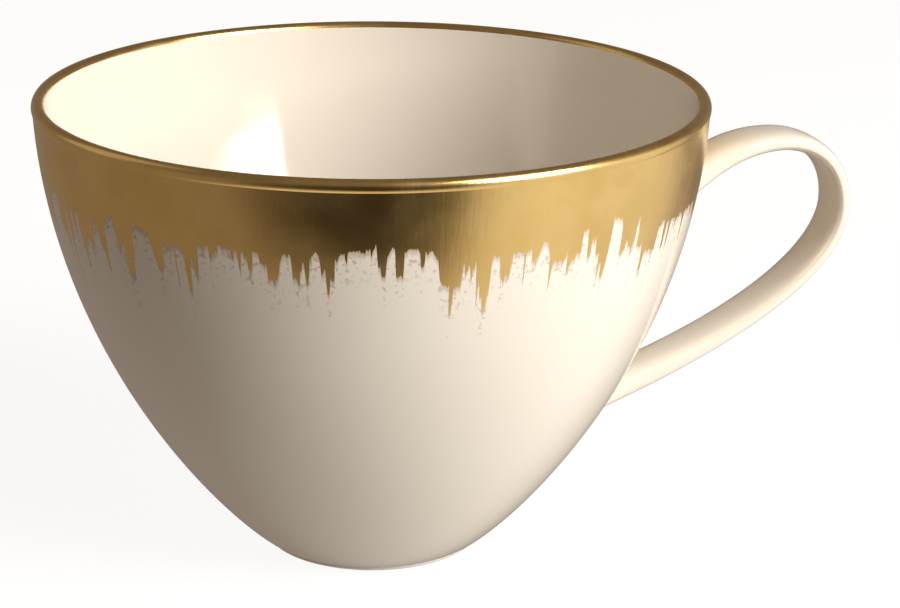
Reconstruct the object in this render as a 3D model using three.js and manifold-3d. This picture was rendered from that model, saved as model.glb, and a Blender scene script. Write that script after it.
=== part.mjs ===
// Porcelain teacup: a thin-walled flaring bowl on a small foot ring, with a strap handle.
// Bowl, foot and handle are fired as one piece, so the cup is a single solid.
// Millimetres, +Z up. The cup stands on z = 0 and its handle points along +X.
import * as THREE from "three";
import { mergeVertices } from "three/addons/utils/BufferGeometryUtils.js";
import Module from "manifold-3d";

// Overall sizes
const RIM_RADIUS = 50;
const HEIGHT = 70;

// Foot ring: a flat land to stand on, around a shallow recess
const FOOT_RADIUS = 16.6;
const FOOT_EDGE_HEIGHT = 0.6;
const LAND_OUTER_RADIUS = 15.8;
const LAND_INNER_RADIUS = 13.4;
const RECESS_RADIUS = 12.4;
const RECESS_DEPTH = 1.6;

// Wall: thickness at the foot and under the lip, and the pulls that shape its flare
const WALL_AT_FOOT = 4.0;
const WALL_AT_RIM = 1.85;
const FOOT_PULL = new THREE.Vector2(20, 2);
const RIM_PULL = new THREE.Vector2(47.9, 28.6);

// Floor of the bowl, and the share of the wall at which it begins to round off
const FLOOR_HEIGHT = 5.2;
const FLOOR_MEETS_WALL = 0.3;
const FLOOR_PULL = 0.55;

// Lip: a small rounded bead that stands a little proud of the wall
const LIP_HALF_WIDTH = 1.0;
const LIP_RISE = 1.1;
const LIP_START_ANGLE = THREE.MathUtils.degToRad(-35);
const LIP_END_ANGLE = Math.PI;

// Strap handle: its centre line as (radius, height), from the upper joint round to the lower one
const UPPER_JOINT = new THREE.Vector2(42.8, 48.1);
const UPPER_PULL = new THREE.Vector2(52, 55);
const LOOP_TOP = new THREE.Vector2(64.5, 58.6);
const LOOP_TOP_PULL_IN = 7.5;
const LOOP_TOP_PULL_OUT = 7;
const LOOP_SIDE = new THREE.Vector2(75.6, 47.5);
const LOOP_SIDE_PULL_UP = 6.5;
const LOOP_SIDE_PULL_DOWN = 8.5;
const LOWER_PULL = new THREE.Vector2(62, 27.2);
const LOWER_JOINT = new THREE.Vector2(27.5, 16.7);

// Strap section, and the shares of its length over which it swells and flares
const STRAP_THICKNESS = 2.9;
const STRAP_WIDTH = 9;
const STRAP_SQUARENESS = 2.6;
const UPPER_SWELL = 2.4;
const UPPER_SWELL_END = 0.3;
const LOWER_SWELL = 1.5;
const LOWER_SWELL_START = 0.5;
const JOINT_FLARE = 1.6;
const UPPER_FLARE_END = 0.14;
const LOWER_FLARE_START = 0.86;

// Facets
const AROUND = 64;
const WALL_STEPS = 12;
const LIP_STEPS = 8;
const FLOOR_STEPS = 6;
const FOOT_STEPS = 3;
const STRAP_SIDES = 16;
const STRAP_STEPS = 30;
const MERGE_TOLERANCE = 1e-4;

// How far past the rim the cutter for the hollow reaches
const CUTTER_RISE = 5;

const LIP_CENTRE = new THREE.Vector2(RIM_RADIUS - LIP_HALF_WIDTH, HEIGHT - LIP_RISE);
const WALL_START = new THREE.Vector2(FOOT_RADIUS, FOOT_EDGE_HEIGHT);
const WALL_END = lipPoint(LIP_START_ANGLE);
const OUTER_WALL = new THREE.CubicBezierCurve(WALL_START, FOOT_PULL, RIM_PULL, WALL_END);

// A point of the lip's rounded edge, in the (radius, height) half-plane.
function lipPoint(angle) {
  const across = LIP_HALF_WIDTH * Math.cos(angle);
  const up = LIP_RISE * Math.sin(angle);
  return new THREE.Vector2(LIP_CENTRE.x + across, LIP_CENTRE.y + up);
}

// The flat underside of the foot ring and the rounded edge where the wall begins.
function footProfile() {
  const path = new THREE.Path();
  path.moveTo(0, RECESS_DEPTH);
  path.lineTo(RECESS_RADIUS, RECESS_DEPTH);
  path.lineTo(LAND_INNER_RADIUS, 0);
  path.lineTo(LAND_OUTER_RADIUS, 0);
  path.quadraticCurveTo(FOOT_RADIUS, 0, WALL_START.x, WALL_START.y);
  return path.getPoints(FOOT_STEPS);
}

// The lip, from the outer wall over the top to the inner wall.
function lipProfile() {
  const points = [];
  for (let step = 1; step <= LIP_STEPS; step++) {
    const share = step / LIP_STEPS;
    points.push(lipPoint(THREE.MathUtils.lerp(LIP_START_ANGLE, LIP_END_ANGLE, share)));
  }
  return points;
}

// A point of the inner wall: the outer wall set inwards by the thickness there.
function innerWallPoint(share) {
  const thickness = THREE.MathUtils.lerp(WALL_AT_FOOT, WALL_AT_RIM, share);
  const tangent = OUTER_WALL.getTangent(share);
  const inwards = new THREE.Vector2(-tangent.y, tangent.x);
  return OUTER_WALL.getPoint(share).addScaledVector(inwards, thickness);
}

// The inside of the bowl, from under the lip down to the middle of the floor.
function hollowProfile() {
  const points = [];
  for (let step = 0; step <= WALL_STEPS; step++) {
    points.push(innerWallPoint(THREE.MathUtils.lerp(1, FLOOR_MEETS_WALL, step / WALL_STEPS)));
  }
  const wallFoot = points.pop();
  const slope = OUTER_WALL.getTangent(FLOOR_MEETS_WALL);
  const run = (wallFoot.y - FLOOR_HEIGHT) / slope.y;
  const floorCorner = new THREE.Vector2(wallFoot.x - slope.x * run, FLOOR_HEIGHT);
  const floor = new THREE.CubicBezierCurve(
    wallFoot,
    wallFoot.clone().lerp(floorCorner, FLOOR_PULL),
    floorCorner,
    new THREE.Vector2(0, FLOOR_HEIGHT),
  );
  return points.concat(floor.getPoints(FLOOR_STEPS));
}

// A closed profile turned about the Z axis.
function turned(profile) {
  return new THREE.LatheGeometry(profile, AROUND).rotateX(Math.PI / 2);
}

function bowlGeometry() {
  const wall = OUTER_WALL.getPoints(WALL_STEPS).slice(1);
  return turned([...footProfile(), ...wall, ...lipProfile(), ...hollowProfile()]);
}

// The room inside the bowl as a solid, which trims the handle's ends flush with the inner wall.
function hollowGeometry() {
  const wall = hollowProfile().reverse();
  const mouth = wall.at(-1);
  const top = HEIGHT + CUTTER_RISE;
  return turned([...wall, new THREE.Vector2(mouth.x, top), new THREE.Vector2(0, top)]);
}

// One stretch of the strap's centre line, in the XZ plane.
function stretch(...points) {
  const placed = points.map((point) => new THREE.Vector3(point.x, 0, point.y));
  return new THREE.CubicBezierCurve3(...placed);
}

// The strap's centre line: up and out from the wall, round the bend, and down a long slant.
function strapLine() {
  const intoTop = new THREE.Vector2(LOOP_TOP.x - LOOP_TOP_PULL_IN, LOOP_TOP.y);
  const fromTop = new THREE.Vector2(LOOP_TOP.x + LOOP_TOP_PULL_OUT, LOOP_TOP.y);
  const intoSide = new THREE.Vector2(LOOP_SIDE.x, LOOP_SIDE.y + LOOP_SIDE_PULL_UP);
  const fromSide = new THREE.Vector2(LOOP_SIDE.x, LOOP_SIDE.y - LOOP_SIDE_PULL_DOWN);
  const line = new THREE.CurvePath();
  line.add(stretch(UPPER_JOINT, UPPER_PULL, intoTop, LOOP_TOP));
  line.add(stretch(LOOP_TOP, fromTop, intoSide, LOOP_SIDE));
  line.add(stretch(LOOP_SIDE, fromSide, LOWER_PULL, LOWER_JOINT));
  return line;
}

// The strap's thickness and width at a share of its length: it swells towards both joints.
function strapSection(share) {
  const nearTop = 1 - THREE.MathUtils.smoothstep(share, 0, UPPER_SWELL_END);
  const nearFoot = THREE.MathUtils.smoothstep(share, LOWER_SWELL_START, 1);
  const flareTop = 1 - THREE.MathUtils.smoothstep(share, 0, UPPER_FLARE_END);
  const flareFoot = THREE.MathUtils.smoothstep(share, LOWER_FLARE_START, 1);
  return {
    thickness: STRAP_THICKNESS + UPPER_SWELL * nearTop + LOWER_SWELL * nearFoot,
    width: STRAP_WIDTH + JOINT_FLARE * (flareTop + flareFoot),
  };
}

// A capped cylinder bent along the centre line, with a squarish oval section.
function strapGeometry() {
  const line = strapLine();
  const strap = new THREE.CylinderGeometry(1, 1, 1, STRAP_SIDES, STRAP_STEPS);
  const position = strap.getAttribute("position");
  const across = new THREE.Vector3(0, 1, 0);
  const rounded = (part) => Math.sign(part) * Math.abs(part) ** (2 / STRAP_SQUARENESS);
  for (let i = 0; i < position.count; i++) {
    const share = THREE.MathUtils.clamp(0.5 - position.getY(i), 0, 1);
    const { thickness, width } = strapSection(share);
    const along = line.getTangentAt(share);
    const outwards = new THREE.Vector3().crossVectors(across, along);
    const point = line.getPointAt(share);
    point.addScaledVector(outwards, rounded(position.getX(i)) * thickness * 0.5);
    point.addScaledVector(across, rounded(position.getZ(i)) * width * 0.5);
    position.setXYZ(i, point.x, point.y, point.z);
  }
  return strap;
}

const wasm = await Module();
wasm.setup();

// A closed geometry as a solid that can be joined and cut.
function solidOf(geometry) {
  const bare = geometry.clone();
  bare.deleteAttribute("normal");
  bare.deleteAttribute("uv");
  const merged = mergeVertices(bare, MERGE_TOLERANCE);
  const vertProperties = merged.getAttribute("position").array;
  const triVerts = new Uint32Array(merged.index.array);
  return new wasm.Manifold(new wasm.Mesh({ numProp: 3, vertProperties, triVerts }));
}

// A solid back as a geometry with shading normals.
function geometryOf(solid) {
  const { vertProperties, triVerts } = solid.getMesh();
  const geometry = new THREE.BufferGeometry();
  geometry.setAttribute("position", new THREE.BufferAttribute(vertProperties, 3));
  geometry.setIndex(new THREE.BufferAttribute(triVerts, 1));
  geometry.computeVertexNormals();
  return geometry;
}

const porcelain = new THREE.MeshStandardMaterial({ color: 0xf3ebdd, roughness: 0.15, metalness: 0 });

const handle = solidOf(strapGeometry()).subtract(solidOf(hollowGeometry()));
const cup = new THREE.Mesh(geometryOf(solidOf(bowlGeometry()).add(handle)), porcelain);
cup.name = "cup";

// The origin is the middle of the footprint of bowl and handle together.
const handleReach = LOOP_SIDE.x + STRAP_THICKNESS / 2;
const teacup = new THREE.Group();
teacup.add(cup);
teacup.position.x = (RIM_RADIUS - handleReach) / 2;

export default teacup;
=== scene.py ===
"""Porcelain teacup with a brushed gold band under its rim, in a plain soft studio."""

import logging
import math
from dataclasses import dataclass
from enum import Enum

import bmesh
import bpy
from mathutils import Matrix, Vector


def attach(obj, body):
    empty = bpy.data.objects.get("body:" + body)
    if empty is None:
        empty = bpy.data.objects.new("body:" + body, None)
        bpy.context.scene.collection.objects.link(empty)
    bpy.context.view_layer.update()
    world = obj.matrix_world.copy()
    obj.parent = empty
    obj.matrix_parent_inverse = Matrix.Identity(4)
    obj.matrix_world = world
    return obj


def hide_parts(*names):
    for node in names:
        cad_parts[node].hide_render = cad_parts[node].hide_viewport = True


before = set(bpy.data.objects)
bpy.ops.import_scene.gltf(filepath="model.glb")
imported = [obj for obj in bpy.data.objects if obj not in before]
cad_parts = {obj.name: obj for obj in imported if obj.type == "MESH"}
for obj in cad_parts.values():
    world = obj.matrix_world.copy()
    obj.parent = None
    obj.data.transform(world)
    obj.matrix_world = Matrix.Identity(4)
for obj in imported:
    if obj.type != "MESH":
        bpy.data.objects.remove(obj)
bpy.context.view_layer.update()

LOG = logging.getLogger("teacup")
MM = 0.001
BOWL_AXIS_X = -13.525

# Limits between which most values of a noise lie
NOISE_LIMITS = (0.3, 0.7)
# Share of the way to the corner at which a cubic pull makes a quadratic curve
QUADRATIC_PULL = 2 / 3


class Zone(Enum):
    """The finish of a face. The value is the cup's material index."""

    GLAZE = 0
    GILT = 1
    BISCUIT = 2


def lerp(start: float, end: float, share: float) -> float:
    """Blend two numbers.

    Args:
        start: Value at share 0.
        end: Value at share 1.
        share: Where between them.

    Returns:
        The blended number.
    """
    return start + (end - start) * share


def smoothstep(value: float, low: float, high: float) -> float:
    """Ease from 0 to 1 between two limits.

    Args:
        value: Number to ease.
        low: Limit that gives 0.
        high: Limit that gives 1.

    Returns:
        The eased share.
    """
    share = min(max((value - low) / (high - low), 0.0), 1.0)
    return share * share * (3.0 - 2.0 * share)


@dataclass(frozen=True)
class Bezier:
    """A cubic curve through two ends with two pulls.

    Args:
        start: First end.
        leave: Pull of the first end.
        arrive: Pull of the second end.
        end: Second end.
    """

    start: Vector
    leave: Vector
    arrive: Vector
    end: Vector

    def point(self, share: float) -> Vector:
        """Return the point at a share of the curve.

        Args:
            share: Curve parameter from 0 to 1.

        Returns:
            The point there.
        """
        rest = 1.0 - share
        ends = self.start * rest**3 + self.end * share**3
        return ends + self.leave * (3 * rest**2 * share) + self.arrive * (3 * rest * share**2)

    def tangent(self, share: float) -> Vector:
        """Return the unit direction at a share of the curve.

        Args:
            share: Curve parameter from 0 to 1.

        Returns:
            The direction there.
        """
        rest = 1.0 - share
        middle = (self.arrive - self.leave) * (2 * rest * share)
        ends = (self.leave - self.start) * rest**2 + (self.end - self.arrive) * share**2
        return (middle + ends).normalized()

    def points(self, steps: int) -> list[Vector]:
        """Return evenly stepped points, both ends included.

        Args:
            steps: Number of steps.

        Returns:
            The points in order.
        """
        return [self.point(step / steps) for step in range(steps + 1)]


class Graph:
    """The node tree of one material or room, with short calls to fill it."""

    def __init__(self, owner: bpy.types.ID, shader: str = "Principled BSDF") -> None:
        """Start on an owner's own shader.

        Args:
            owner: The new material or world.
            shader: The name of its shader node.
        """
        self.owner = owner
        owner.use_nodes = True
        self.tree = owner.node_tree
        self.shader = self.tree.nodes[shader]

    @classmethod
    def material(cls, name: str) -> "Graph":
        """Start a new material.

        Args:
            name: The material's name.

        Returns:
            Its graph.
        """
        return cls(bpy.data.materials.new(name))

    def put(self, socket: bpy.types.NodeSocket, value: object) -> None:
        """Link a socket, or set its value.

        Args:
            socket: Input to fill.
            value: An output socket, or a plain value.
        """
        if isinstance(value, bpy.types.NodeSocket):
            self.tree.links.new(value, socket)
        else:
            socket.default_value = value

    def dress(self, **values: object) -> None:
        """Fill the shader's inputs.

        Args:
            **values: Input names with _ for a space, and their values.
        """
        for name, value in values.items():
            self.put(self.shader.inputs[name.replace("_", " ")], value)

    def place(self) -> bpy.types.NodeSocket:
        """Return the point of the surface in millimetres from the bowl's axis.

        Returns:
            A vector socket.
        """
        coordinates = self.tree.nodes.new("ShaderNodeTexCoord").outputs["Object"]
        scaled = self.vector("SCALE", coordinates, scale=1.0 / MM)
        return self.vector("SUBTRACT", scaled, (BOWL_AXIS_X, 0.0, 0.0))

    def vector(self, kind: str, *values: object, scale: float = 1.0) -> bpy.types.NodeSocket:
        """Add a vector operation.

        Args:
            kind: Its operation.
            *values: Its inputs.
            scale: Its scale input, where it has one.

        Returns:
            The vector result.
        """
        node = self.tree.nodes.new("ShaderNodeVectorMath")
        node.operation = kind
        if kind == "SCALE":
            node.inputs["Scale"].default_value = scale
        for socket, value in zip(node.inputs, values):
            self.put(socket, value)
        return node.outputs["Vector"]

    def dot(self, first: object, second: object) -> bpy.types.NodeSocket:
        """Add a dot product.

        Args:
            first: One vector.
            second: The other vector.

        Returns:
            The product.
        """
        node = self.tree.nodes.new("ShaderNodeVectorMath")
        node.operation = "DOT_PRODUCT"
        self.put(node.inputs[0], first)
        self.put(node.inputs[1], second)
        return node.outputs["Value"]

    def math(self, kind: str, *values: object) -> bpy.types.NodeSocket:
        """Add an arithmetic operation.

        Args:
            kind: Its operation.
            *values: Its inputs.

        Returns:
            The result.
        """
        node = self.tree.nodes.new("ShaderNodeMath")
        node.operation = kind
        for socket, value in zip(node.inputs, values):
            self.put(socket, value)
        return node.outputs[0]

    def spread(self, value: object, low: float, high: float, *ends: float) -> bpy.types.NodeSocket:
        """Map a range of values smoothly onto another, clamped.

        Args:
            value: The value to map.
            low: The value that gives the first end.
            high: The value that gives the second end.
            *ends: The two results, 0 and 1 where none are given.

        Returns:
            The mapped value.
        """
        node = self.tree.nodes.new("ShaderNodeMapRange")
        node.interpolation_type = "SMOOTHSTEP"
        for socket, entry in zip(node.inputs, (value, low, high, *ends)):
            self.put(socket, entry)
        return node.outputs["Result"]

    def noise(self, where: object, scale: float, detail: float = 2.0) -> bpy.types.NodeSocket:
        """Add a noise from 0 to 1.

        Args:
            where: The vector it is read at.
            scale: Its features per unit.
            detail: Its octaves.

        Returns:
            The noise value.
        """
        node = self.tree.nodes.new("ShaderNodeTexNoise")
        self.put(node.inputs["Vector"], where)
        node.inputs["Scale"].default_value = scale
        node.inputs["Detail"].default_value = detail
        return node.outputs["Fac"]

    def mix(self, share: object, first: object, second: object) -> bpy.types.NodeSocket:
        """Blend two colours.

        Args:
            share: Share of the second.
            first: Colour at share 0.
            second: Colour at share 1.

        Returns:
            The blended colour.
        """
        node = self.tree.nodes.new("ShaderNodeMix")
        node.data_type = "RGBA"
        sockets = [s for s in node.inputs if s.type == "RGBA"]
        self.put(node.inputs["Factor"], share)
        self.put(sockets[0], first)
        self.put(sockets[1], second)
        return next(s for s in node.outputs if s.type == "RGBA")

    def bump(self, height: object, depth_mm: float) -> bpy.types.NodeSocket:
        """Add a shallow relief.

        Args:
            height: Relief from 0 to 1.
            depth_mm: Its full depth.

        Returns:
            The normal.
        """
        node = self.tree.nodes.new("ShaderNodeBump")
        node.inputs["Distance"].default_value = depth_mm * MM
        self.put(node.inputs["Height"], height)
        return node.outputs["Normal"]


@dataclass(frozen=True)
class GlazeFinish:
    """Clear glossy glaze over cream porcelain, with a faint unevenness."""

    cream: tuple[float, ...] = (0.83, 0.78, 0.70, 1.0)
    warm: tuple[float, ...] = (0.80, 0.74, 0.65, 1.0)
    roughness: tuple[float, float] = (0.07, 0.12)
    ior: float = 1.52
    drift_scale: float = 0.045
    ripple_scale: float = 0.11
    ripple_detail: float = 1.0
    ripple_depth_mm: float = 0.06

    def colour(self, graph: Graph, where: object) -> bpy.types.NodeSocket:
        """Return the glaze's slowly drifting cream.

        Args:
            graph: The material's nodes.
            where: Place in millimetres.

        Returns:
            The colour.
        """
        return graph.mix(graph.noise(where, self.drift_scale), self.cream, self.warm)

    def relief(self, graph: Graph, where: object) -> bpy.types.NodeSocket:
        """Return the soft ripple of a poured glaze.

        Args:
            graph: The material's nodes.
            where: Place in millimetres.

        Returns:
            The normal.
        """
        ripple = graph.noise(where, self.ripple_scale, self.ripple_detail)
        return graph.bump(ripple, self.ripple_depth_mm)

    def build(self) -> bpy.types.Material:
        """Make the material.

        Returns:
            The glaze.
        """
        graph = Graph.material("glaze")
        where = graph.place()
        ripple = graph.noise(where, self.ripple_scale)
        gloss = graph.spread(ripple, *NOISE_LIMITS, *self.roughness)
        graph.dress(
            Base_Color=self.colour(graph, where),
            Roughness=gloss,
            IOR=self.ior,
            Normal=self.relief(graph, where),
        )
        return graph.owner


@dataclass(frozen=True)
class Tongues:
    """One set of blunt brush tongues around the rim."""

    scale: float
    shift: float
    low: float
    high: float
    depth: float

    def reach(self, graph: Graph, ring: object) -> bpy.types.NodeSocket:
        """Return how far this set's tongues reach below the band.

        Args:
            graph: The material's nodes.
            ring: Place around the rim in millimetres.

        Returns:
            The depth in millimetres.
        """
        moved = graph.vector("ADD", ring, (0.0, 0.0, self.shift))
        return graph.spread(graph.noise(moved, self.scale), self.low, self.high, 0.0, self.depth)


@dataclass(frozen=True)
class GiltFinish:
    """Gold lustre brushed down from the rim in ragged tongues, over the glaze.

    Depths are millimetres below the rim.
    """

    glaze: GlazeFinish
    rim_height: float = 70.0
    ring_radius: float = 50.0
    base_depth: float = 7.8
    sway_scale: float = 0.035
    sway_depth: float = 4.5
    hair_scale: float = 1.7
    hair_depth: float = 2.6
    stroke_stretch: float = 0.12
    edge_softness: float = 0.35
    fringe_width: float = 1.0
    fringe_strength: float = 0.5
    speck_scale: float = 1.5
    speck_limits: tuple[float, float] = (0.56, 0.64)
    speck_strength: float = 0.6
    speck_reach: float = 6.0
    mottle_scale: float = 0.16
    tone_limits: tuple[float, float] = (0.35, 0.65)
    fine_detail: float = 3.0
    gold: tuple[float, ...] = (0.84, 0.59, 0.23, 1.0)
    deep_gold: tuple[float, ...] = (0.79, 0.54, 0.20, 1.0)
    lustre: tuple[float, ...] = (0.40, 0.26, 0.20, 1.0)
    gold_roughness: tuple[float, float] = (0.22, 0.28)
    stroke_depth_mm: float = 0.012
    tongues: tuple[Tongues, ...] = (
        Tongues(scale=0.26, shift=11.0, low=0.48, high=0.58, depth=4.2),
        Tongues(scale=0.62, shift=47.0, low=0.50, high=0.62, depth=4.0),
        Tongues(scale=0.80, shift=83.0, low=0.66, high=0.72, depth=5.5),
    )

    def build(self) -> bpy.types.Material:
        """Make the material.

        Returns:
            The gilded glaze.
        """
        graph = Graph.material("gilt")
        where = graph.place()
        apart = graph.tree.nodes.new("ShaderNodeSeparateXYZ")
        graph.put(apart.inputs[0], where)
        below = graph.math("SUBTRACT", self.rim_height, apart.outputs["Z"])
        flat = graph.vector("MULTIPLY", where, (1.0, 1.0, 0.0))
        ring = graph.vector("SCALE", graph.vector("NORMALIZE", flat), scale=self.ring_radius)
        lift = graph.vector("MULTIPLY", where, (0.0, 0.0, self.stroke_stretch))
        hairs = graph.noise(graph.vector("ADD", ring, lift), self.hair_scale, self.fine_detail)

        left = graph.math("SUBTRACT", self.edge_depth(graph, ring, hairs), below)
        gold = graph.spread(left, 0.0, self.edge_softness)
        fringe = graph.spread(left, -self.fringe_width, 0.0, 0.0, self.fringe_strength)
        grains = graph.noise(where, self.speck_scale)
        specks = graph.spread(grains, *self.speck_limits, 0.0, self.speck_strength)
        near = graph.spread(left, -self.speck_reach, 0.0)
        stain = graph.math("MAXIMUM", fringe, graph.math("MULTIPLY", specks, near))

        mottle = graph.noise(where, self.mottle_scale, self.fine_detail)
        tone = graph.mix(graph.spread(mottle, *self.tone_limits), self.deep_gold, self.gold)
        ground = graph.mix(stain, self.glaze.colour(graph, where), self.lustre)
        sheen = graph.spread(mottle, *NOISE_LIMITS, *self.gold_roughness)
        gloss = graph.math("MULTIPLY", gold, graph.math("SUBTRACT", sheen, self.glaze.roughness[1]))
        graph.dress(
            Base_Color=graph.mix(gold, ground, tone),
            Metallic=gold,
            Roughness=graph.math("ADD", gloss, self.glaze.roughness[1]),
            IOR=self.glaze.ior,
            Normal=graph.bump(graph.math("MULTIPLY", hairs, gold), self.stroke_depth_mm),
        )
        return graph.owner

    def edge_depth(self, graph: Graph, ring: object, hairs: object) -> bpy.types.NodeSocket:
        """Return how far below the rim the gold reaches.

        Args:
            graph: The material's nodes.
            ring: Place around the rim in millimetres.
            hairs: Fine noise along the brush strokes.

        Returns:
            The depth in millimetres.
        """
        swell = graph.noise(ring, self.sway_scale)
        sway = graph.spread(swell, *NOISE_LIMITS, 0.0, self.sway_depth)
        depth = graph.math("ADD", sway, self.base_depth)
        depth = graph.math("ADD", depth, graph.math("MULTIPLY", hairs, self.hair_depth))
        for tongues in self.tongues:
            depth = graph.math("ADD", depth, tongues.reach(graph, ring))
        return depth


@dataclass(frozen=True)
class BiscuitFinish:
    """Bare, unglazed porcelain of the land under the foot."""

    pale: tuple[float, ...] = (0.74, 0.70, 0.63, 1.0)
    worn: tuple[float, ...] = (0.60, 0.55, 0.48, 1.0)
    roughness: float = 0.75
    grain_scale: float = 2.4
    grain_detail: float = 4.0

    def build(self) -> bpy.types.Material:
        """Make the material.

        Returns:
            The bare porcelain.
        """
        graph = Graph.material("biscuit")
        grain = graph.noise(graph.place(), self.grain_scale, self.grain_detail)
        graph.dress(Base_Color=graph.mix(grain, self.pale, self.worn), Roughness=self.roughness)
        return graph.owner


@dataclass(frozen=True)
class Bowl:
    """The flaring bowl with its lip and foot ring. Profile points are (radius, height) in mm."""

    rim_radius: float = 50.0
    height: float = 70.0
    foot_radius: float = 16.6
    foot_edge_height: float = 0.6
    land_outer_radius: float = 15.8
    land_inner_radius: float = 13.4
    recess_radius: float = 12.4
    recess_depth: float = 1.6
    wall_at_foot: float = 4.0
    wall_at_rim: float = 1.85
    foot_pull: tuple[float, float] = (20.0, 2.0)
    rim_pull: tuple[float, float] = (47.9, 28.6)
    floor_height: float = 5.2
    floor_meets_wall: float = 0.3
    floor_pull: float = 0.55
    lip_half_width: float = 1.0
    lip_rise: float = 1.1
    lip_start: float = math.radians(-35.0)
    gilt_end: float = math.radians(165.0)
    wall_steps: int = 56
    lip_steps: int = 20
    floor_steps: int = 24
    foot_steps: int = 8
    around: int = 192
    cutter_rise: float = 5.0
    cutter_bite: float = 0.7
    weld: float = 1e-6

    def lip(self, first: float, last: float) -> list[Vector]:
        """Return points over the lip between two angles.

        Args:
            first: Angle of the first point, from straight out.
            last: Angle of the last point.

        Returns:
            The points in order.
        """
        centre = Vector((self.rim_radius - self.lip_half_width, self.height - self.lip_rise))
        points = []
        for step in range(self.lip_steps + 1):
            angle = lerp(first, last, step / self.lip_steps)
            across = self.lip_half_width * math.cos(angle)
            points.append(centre + Vector((across, self.lip_rise * math.sin(angle))))
        return points

    def wall(self) -> Bezier:
        """Return the outer wall from the foot to the lip.

        Returns:
            The curve.
        """
        foot = Vector((self.foot_radius, self.foot_edge_height))
        under_lip = self.lip(self.lip_start, 0.0)[0]
        return Bezier(foot, Vector(self.foot_pull), Vector(self.rim_pull), under_lip)

    def inside(self, bite: float = 0.0) -> list[Vector]:
        """Return the inner wall and floor, from under the lip to the axis.

        Args:
            bite: How far to set the wall outwards into its own thickness.

        Returns:
            The points in order.
        """
        wall = self.wall()
        points = []
        for step in range(self.wall_steps + 1):
            share = lerp(1.0, self.floor_meets_wall, step / self.wall_steps)
            along = wall.tangent(share)
            thickness = lerp(self.wall_at_foot, self.wall_at_rim, share) - bite
            points.append(wall.point(share) + Vector((-along.y, along.x)) * thickness)
        foot = points.pop()
        slope = wall.tangent(self.floor_meets_wall)
        run = (foot.y - self.floor_height) / slope.y
        corner = Vector((foot.x - slope.x * run, self.floor_height))
        pull = foot.lerp(corner, self.floor_pull)
        floor = Bezier(foot, pull, corner, Vector((0.0, self.floor_height)))
        return points + floor.points(self.floor_steps)

    def underside(self) -> tuple[list[Vector], list[Vector], list[Vector]]:
        """Return the recess, the land and the rounded foot edge.

        Returns:
            Three runs of points, from the axis outwards.
        """
        land_in = Vector((self.land_inner_radius, 0.0))
        land_out = Vector((self.land_outer_radius, 0.0))
        corner = Vector((self.foot_radius, 0.0))
        edge = Vector((self.foot_radius, self.foot_edge_height))
        top = Vector((self.recess_radius, self.recess_depth))
        recess = [Vector((0.0, self.recess_depth)), top, land_in]
        rounded = Bezier(
            land_out,
            land_out.lerp(corner, QUADRATIC_PULL),
            edge.lerp(corner, QUADRATIC_PULL),
            edge,
        )
        return recess, [land_in, land_out], rounded.points(self.foot_steps)

    def turn(self, mesh: bmesh.types.BMesh, profile: list[Vector], zone: Zone) -> None:
        """Spin a run of profile points about the bowl's axis.

        Args:
            mesh: Mesh that takes the faces.
            profile: Points of the run.
            zone: Finish of its faces.
        """
        known = set(mesh.faces)
        verts = [mesh.verts.new(((BOWL_AXIS_X + p.x) * MM, 0.0, p.y * MM)) for p in profile]
        edges = [mesh.edges.new(pair) for pair in zip(verts, verts[1:])]
        bmesh.ops.spin(
            mesh,
            geom=verts + edges,
            cent=(BOWL_AXIS_X * MM, 0.0, 0.0),
            axis=(0.0, 0.0, 1.0),
            angle=math.tau,
            steps=self.around,
            use_merge=True,
        )
        for face in mesh.faces:
            if face not in known:
                face.material_index = zone.value

    def close(self, mesh: bmesh.types.BMesh) -> None:
        """Weld the runs together and turn every face outwards.

        Args:
            mesh: Mesh to close.
        """
        bmesh.ops.remove_doubles(mesh, verts=mesh.verts, dist=self.weld)
        bmesh.ops.dissolve_degenerate(mesh, edges=mesh.edges, dist=self.weld)
        bmesh.ops.recalc_face_normals(mesh, faces=mesh.faces)

    def solid(self) -> bmesh.types.BMesh:
        """Make the bowl.

        Returns:
            Its closed mesh.
        """
        mesh = bmesh.new()
        recess, land, edge = self.underside()
        over = self.lip(self.lip_start, self.gilt_end)
        within = self.lip(self.gilt_end, math.pi)
        self.turn(mesh, recess, Zone.GLAZE)
        self.turn(mesh, land, Zone.BISCUIT)
        self.turn(mesh, edge, Zone.GLAZE)
        self.turn(mesh, self.wall().points(self.wall_steps) + over[1:], Zone.GILT)
        self.turn(mesh, within + self.inside(), Zone.GLAZE)
        self.close(mesh)
        return mesh

    def hollow(self) -> bmesh.types.BMesh:
        """Make the room inside the bowl, which trims the handle's ends.

        Returns:
            Its closed mesh.
        """
        mesh = bmesh.new()
        inside = self.inside(self.cutter_bite)
        top = self.height + self.cutter_rise
        lid = [Vector((0.0, top)), Vector((inside[0].x, top))]
        self.turn(mesh, lid + inside, Zone.GLAZE)
        self.close(mesh)
        return mesh


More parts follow.
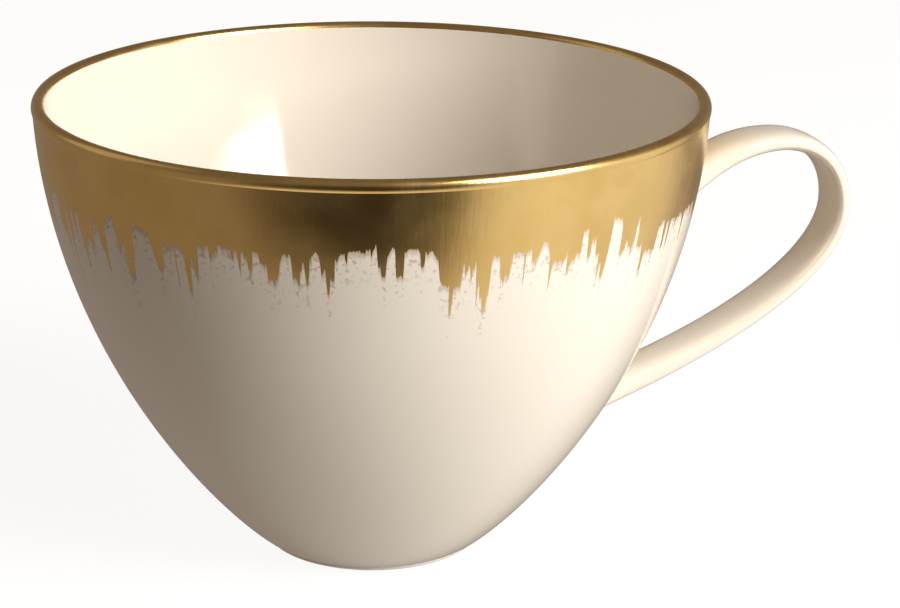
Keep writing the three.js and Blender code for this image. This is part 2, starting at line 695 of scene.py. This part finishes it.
@dataclass(frozen=True)
class StrapHandle:
    """The looped strap. Centre line points are (radius, height) in mm."""

    upper_joint: tuple[float, float] = (42.8, 48.1)
    upper_pull: tuple[float, float] = (52.0, 55.0)
    loop_top: tuple[float, float] = (64.5, 58.6)
    top_pull_in: float = 7.5
    top_pull_out: float = 7.0
    loop_side: tuple[float, float] = (75.6, 47.5)
    side_pull_up: float = 6.5
    side_pull_down: float = 8.5
    lower_pull: tuple[float, float] = (62.0, 27.2)
    lower_joint: tuple[float, float] = (27.5, 16.7)
    thickness: float = 2.9
    width: float = 9.0
    squareness: float = 2.6
    upper_swell: float = 2.4
    upper_swell_end: float = 0.3
    lower_swell: float = 1.5
    lower_swell_start: float = 0.5
    joint_flare: float = 1.6
    upper_flare_end: float = 0.14
    lower_flare_start: float = 0.86
    sides: int = 32
    steps: int = 120
    curve_steps: int = 80

    def line(self) -> list[Vector]:
        """Return the centre line as finely stepped points.

        Returns:
            The points from the upper joint to the lower one.
        """
        top, side = Vector(self.loop_top), Vector(self.loop_side)
        stretches = (
            Bezier(
                Vector(self.upper_joint),
                Vector(self.upper_pull),
                top - Vector((self.top_pull_in, 0.0)),
                top,
            ),
            Bezier(
                top,
                top + Vector((self.top_pull_out, 0.0)),
                side + Vector((0.0, self.side_pull_up)),
                side,
            ),
            Bezier(
                side,
                side - Vector((0.0, self.side_pull_down)),
                Vector(self.lower_pull),
                Vector(self.lower_joint),
            ),
        )
        points = [Vector(self.upper_joint)]
        for stretch in stretches:
            points += stretch.points(self.curve_steps)[1:]
        return points

    def stations(self) -> list[tuple[float, Vector, Vector]]:
        """Return even stations along the centre line.

        Returns:
            For each, its share of the length, its point and its direction.
        """
        line = self.line()
        reach = [0.0]
        for first, second in zip(line, line[1:]):
            reach.append(reach[-1] + (second - first).length)
        stations = []
        piece = 0
        for step in range(self.steps + 1):
            share = step / self.steps
            goal = share * reach[-1]
            while piece < len(line) - 2 and reach[piece + 1] < goal:
                piece += 1
            part = (goal - reach[piece]) / (reach[piece + 1] - reach[piece])
            along = (line[piece + 1] - line[piece]).normalized()
            stations.append((share, line[piece].lerp(line[piece + 1], part), along))
        return stations

    def section(self, share: float) -> tuple[float, float]:
        """Return the strap's size at a share of its length.

        Args:
            share: Share from the upper joint.

        Returns:
            Thickness and width in millimetres.
        """
        near_top = 1.0 - smoothstep(share, 0.0, self.upper_swell_end)
        near_foot = smoothstep(share, self.lower_swell_start, 1.0)
        flare_top = 1.0 - smoothstep(share, 0.0, self.upper_flare_end)
        flare_foot = smoothstep(share, self.lower_flare_start, 1.0)
        thickness = self.thickness + self.upper_swell * near_top + self.lower_swell * near_foot
        return thickness, self.width + self.joint_flare * (flare_top + flare_foot)

    def corner(self, number: int, station: tuple[float, Vector, Vector]) -> Vector:
        """Return one corner of the squarish oval section.

        Args:
            number: Which corner.
            station: Share, point and direction of the centre line.

        Returns:
            The corner in metres.
        """
        share, point, along = station
        thickness, width = self.section(share)
        angle = math.tau * number / self.sides
        power = 2.0 / self.squareness
        across = math.copysign(abs(math.sin(angle)) ** power, math.sin(angle))
        through = math.copysign(abs(math.cos(angle)) ** power, math.cos(angle))
        place = point + Vector((along.y, -along.x)) * (through * thickness / 2.0)
        return Vector((BOWL_AXIS_X + place.x, across * width / 2.0, place.y)) * MM

    def solid(self) -> bmesh.types.BMesh:
        """Make the strap by drawing one section along the centre line.

        Returns:
            Its closed mesh.
        """
        mesh = bmesh.new()
        number = mesh.verts.layers.int.new("corner")
        bmesh.ops.create_circle(mesh, cap_ends=True, radius=MM, segments=self.sides)
        mesh.faces.ensure_lookup_table()
        face = mesh.faces[0]
        for index, vert in enumerate(face.verts):
            vert[number] = index
        for step, station in enumerate(self.stations()):
            if step:
                drawn = bmesh.ops.extrude_face_region(mesh, geom=[face])["geom"]
                face = next(item for item in drawn if isinstance(item, bmesh.types.BMFace))
            for vert in face.verts:
                vert.co = self.corner(vert[number], station)
        bmesh.ops.recalc_face_normals(mesh, faces=mesh.faces)
        return mesh


@dataclass(frozen=True)
class Teacup:
    """Bowl and handle fired into one piece."""

    bowl: Bowl
    handle: StrapHandle
    glaze: GlazeFinish
    gilt: GiltFinish
    biscuit: BiscuitFinish
    crease: float = math.radians(24.0)

    def finishes(self) -> list[bpy.types.Material]:
        """Make the finishes in the order of their zones.

        Returns:
            The materials.
        """
        made = {
            Zone.GLAZE: self.glaze.build(),
            Zone.GILT: self.gilt.build(),
            Zone.BISCUIT: self.biscuit.build(),
        }
        return [made[zone] for zone in Zone]

    def loose(self, name: str, solid: bmesh.types.BMesh) -> bpy.types.Object:
        """Make an object of a mesh.

        Args:
            name: Its name.
            solid: Its mesh, which is freed.

        Returns:
            The object.
        """
        data = bpy.data.meshes.new(name)
        solid.to_mesh(data)
        solid.free()
        piece = bpy.data.objects.new(name, data)
        bpy.context.collection.objects.link(piece)
        return piece

    def combine(self, piece: bpy.types.Object, other: bpy.types.Object, how: str) -> None:
        """Join another object to a piece, or cut it out, and remove that object.

        Args:
            piece: Object that is changed.
            other: Object that is used up.
            how: The boolean operation.
        """
        boolean = piece.modifiers.new(how, "BOOLEAN")
        boolean.operation = how
        boolean.solver = "EXACT"
        boolean.object = other
        graph = bpy.context.evaluated_depsgraph_get()
        result = bpy.data.meshes.new_from_object(piece.evaluated_get(graph))
        piece.modifiers.clear()
        piece.data = result
        bpy.data.objects.remove(other)

    def build(self) -> bpy.types.Object:
        """Make the cup and tie it to the frame.

        Returns:
            The cup.
        """
        finishes = self.finishes()
        cup = self.loose("teacup", self.bowl.solid())
        strap = self.loose("strap", self.handle.solid())
        for piece in (cup, strap):
            for finish in finishes:
                piece.data.materials.append(finish)
        self.combine(strap, self.loose("hollow", self.bowl.hollow()), "DIFFERENCE")
        self.combine(cup, strap, "UNION")
        cup.data.shade_smooth()
        cup.data.set_sharp_from_angle(angle=self.crease)
        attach(cup, "root")
        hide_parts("cup")
        return cup


@dataclass(frozen=True)
class Lamp:
    """One rectangular soft light, placed around the bowl as seen from the camera's side."""

    name: str
    azimuth: float
    elevation: float
    distance: float
    width: float
    height: float
    power: float
    colour: tuple[float, float, float]

    def build(self, centre: Vector) -> bpy.types.Object:
        """Make the light, turned to the bowl.

        Args:
            centre: Point it is turned to.

        Returns:
            The light.
        """
        data = bpy.data.lights.new(self.name, "AREA")
        data.shape = "RECTANGLE"
        data.size = self.width
        data.size_y = self.height
        data.energy = self.power
        data.color = self.colour
        lamp = bpy.data.objects.new(self.name, data)
        away = Studio.towards(self.azimuth, self.elevation)
        lamp.matrix_world = Studio.facing(centre + away * self.distance, centre)
        bpy.context.collection.objects.link(lamp)
        return lamp


@dataclass(frozen=True)
class Patch:
    """A soft patch of the room, in degrees around the object and cosines of its width."""

    azimuth: float
    elevation: float
    fade: float
    full: float
    colour: tuple[float, ...]


@dataclass(frozen=True)
class Studio:
    """Camera, floor, room tone and lights."""

    centre: tuple[float, float, float] = (BOWL_AXIS_X * MM, 0.0, 35.0 * MM)
    azimuth: float = -15.0
    elevation: float = 18.41
    distance: float = 0.4
    aim_right: float = 11.74 * MM
    aim_up: float = 1.73 * MM
    roll: float = math.radians(0.48)
    lens: float = 105.24
    sensor: float = 36.0
    floor_half: float = 3.0
    floor_drop: float = 0.1 * MM
    floor_colour: tuple[float, ...] = (0.16, 0.16, 0.16, 1.0)
    floor_light: tuple[float, ...] = (1.0, 0.99, 0.98, 1.0)
    floor_tint: tuple[float, ...] = (0.98, 0.97, 0.96, 1.0)
    floor_glow: float = 0.92
    floor_scale: float = 0.01
    floor_roughness: float = 0.9
    room_tones: tuple[tuple[float, ...], ...] = ((0.27, 0.22, 0.18, 1.0), (0.17, 0.14, 0.115, 1.0))
    room_fade: tuple[float, float] = (-0.2, 0.6)
    patches: tuple[Patch, ...] = (
        Patch(
            azimuth=40.0,
            elevation=-68.0,
            fade=0.45,
            full=0.85,
            colour=(0.85, 0.76, 0.68, 1.0),
        ),
        Patch(
            azimuth=-16.0,
            elevation=-12.0,
            fade=0.66,
            full=0.95,
            colour=(0.035, 0.028, 0.022, 1.0),
        ),
        Patch(
            azimuth=68.0,
            elevation=-24.0,
            fade=0.60,
            full=0.90,
            colour=(0.95, 0.91, 0.85, 1.0),
        ),
    )

    @staticmethod
    def towards(azimuth: float, elevation: float) -> Vector:
        """Return the direction from the object to a viewpoint.

        Args:
            azimuth: Degrees about +Z from -Y.
            elevation: Degrees above the floor.

        Returns:
            The unit direction.
        """
        turn, rise = math.radians(azimuth), math.radians(elevation)
        level = math.cos(rise)
        return Vector((math.sin(turn) * level, -math.cos(turn) * level, math.sin(rise)))

    @staticmethod
    def facing(place: Vector, goal: Vector) -> Matrix:
        """Return the placing of a camera or light that looks at a point.

        Args:
            place: Where it stands.
            goal: What it looks at.

        Returns:
            Its world matrix.
        """
        turn = (goal - place).to_track_quat("-Z", "Y")
        return Matrix.Translation(place) @ turn.to_matrix().to_4x4()

    def camera(self) -> bpy.types.Object:
        """Make the camera and set it.

        Returns:
            The camera.
        """
        data = bpy.data.cameras.new("camera")
        data.sensor_width = self.sensor
        data.lens = self.lens
        eye = bpy.data.objects.new("camera", data)
        centre = Vector(self.centre)
        place = centre + self.towards(self.azimuth, self.elevation) * self.distance
        level = self.facing(place, centre)
        right, up = level.col[0].xyz, level.col[1].xyz
        goal = centre + right * self.aim_right + up * self.aim_up
        eye.matrix_world = self.facing(place, goal) @ Matrix.Rotation(self.roll, 4, "Z")
        bpy.context.collection.objects.link(eye)
        bpy.context.scene.camera = eye
        return eye

    def floor(self) -> bpy.types.Object:
        """Make the pale floor, which is bright by itself and casts no light on the cup.

        Returns:
            The floor.
        """
        graph = Graph.material("floor")
        where = graph.place()
        light = graph.mix(graph.noise(where, self.floor_scale), self.floor_light, self.floor_tint)
        graph.dress(
            Base_Color=self.floor_colour,
            Roughness=self.floor_roughness,
            Specular_IOR_Level=0.0,
            Emission_Color=light,
            Emission_Strength=self.floor_glow,
        )
        mesh = bmesh.new()
        drop = Matrix.Translation((0.0, 0.0, -self.floor_drop))
        bmesh.ops.create_grid(mesh, x_segments=1, y_segments=1, size=self.floor_half, matrix=drop)
        data = bpy.data.meshes.new("floor")
        mesh.to_mesh(data)
        mesh.free()
        data.materials.append(graph.owner)
        floor = bpy.data.objects.new("floor", data)
        floor.visible_diffuse = False
        floor.visible_glossy = False
        bpy.context.collection.objects.link(floor)
        return floor

    def room(self) -> None:
        """Set the soft tones of the room and how its light is shown."""
        world = bpy.data.worlds.new("room")
        graph = Graph(world, "Background")
        way = graph.tree.nodes.new("ShaderNodeTexCoord").outputs["Generated"]
        rise = graph.spread(graph.dot(way, (0.0, 0.0, 1.0)), *self.room_fade)
        tone = graph.mix(rise, *self.room_tones)
        for patch in self.patches:
            facing = graph.dot(way, self.towards(patch.azimuth, patch.elevation))
            share = graph.spread(facing, patch.fade, patch.full)
            tone = graph.mix(share, tone, patch.colour)
        graph.dress(Color=tone)
        scene = bpy.context.scene
        scene.world = world
        scene.view_settings.view_transform = "Standard"

    def lamps(self) -> list[bpy.types.Object]:
        """Make the lights: a large warm one at the right and a dim one at the left.

        Returns:
            The lights.
        """
        key = Lamp(
            name="key",
            azimuth=39.0,
            elevation=28.0,
            distance=0.75,
            width=0.42,
            height=0.50,
            power=8.2,
            colour=(1.0, 0.96, 0.90),
        )
        fill = Lamp(
            name="fill",
            azimuth=-120.0,
            elevation=30.0,
            distance=0.9,
            width=0.5,
            height=0.7,
            power=0.35,
            colour=(1.0, 0.92, 0.82),
        )
        return [lamp.build(Vector(self.centre)) for lamp in (key, fill)]

    def build(self) -> None:
        """Make everything around the object."""
        self.room()
        self.floor()
        self.lamps()
        self.camera()


def main() -> None:
    """Build the cup and its studio, and report each piece."""
    logging.basicConfig(level=logging.INFO, format="%(message)s")
    glaze = GlazeFinish()
    cup = Teacup(Bowl(), StrapHandle(), glaze, GiltFinish(glaze), BiscuitFinish()).build()
    LOG.info("%s: %d faces", cup.name, len(cup.data.polygons))
    Studio().build()
    LOG.info("studio set")


if __name__ == "__main__":
    main()
